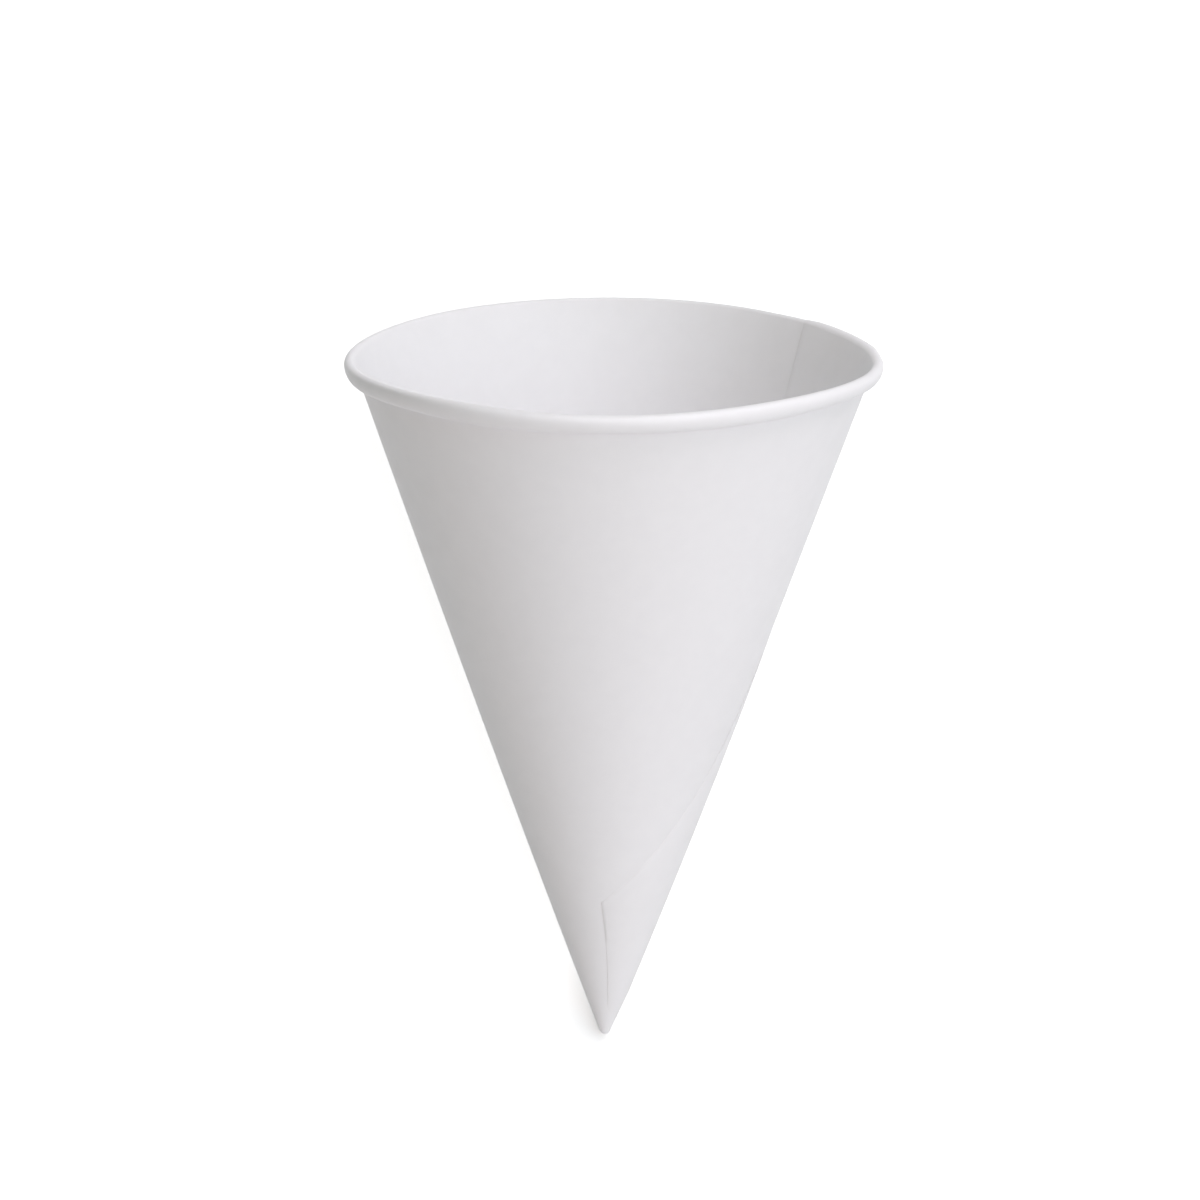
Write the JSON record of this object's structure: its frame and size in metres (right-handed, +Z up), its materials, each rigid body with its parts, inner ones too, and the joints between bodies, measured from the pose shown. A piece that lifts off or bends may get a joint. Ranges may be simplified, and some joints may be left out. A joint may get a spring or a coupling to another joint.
{
  "type": "cone paper cup",
  "caption": "Conical paper drinking cup with a rolled rim, wrapped from one paper sector with a glued lap and a closed tip, lying on its side.",
  "frame": {"origin": "centre of the footprint, on the surface that the cup lies on", "axes": "+Z up, +X towards the mouth in the plane of the cup's axis, so the tip points to -X; the cup's axis rises 20.4 degrees from tip to mouth"},
  "size_m": [0.102, 0.073, 0.0678],
  "materials": {
    "white_paper": "smooth matt white paper with a faint satin sheen"
  },
  "bodies": {
    "root": {"cone_cup": "white_paper"}
  },
  "joints": []
}
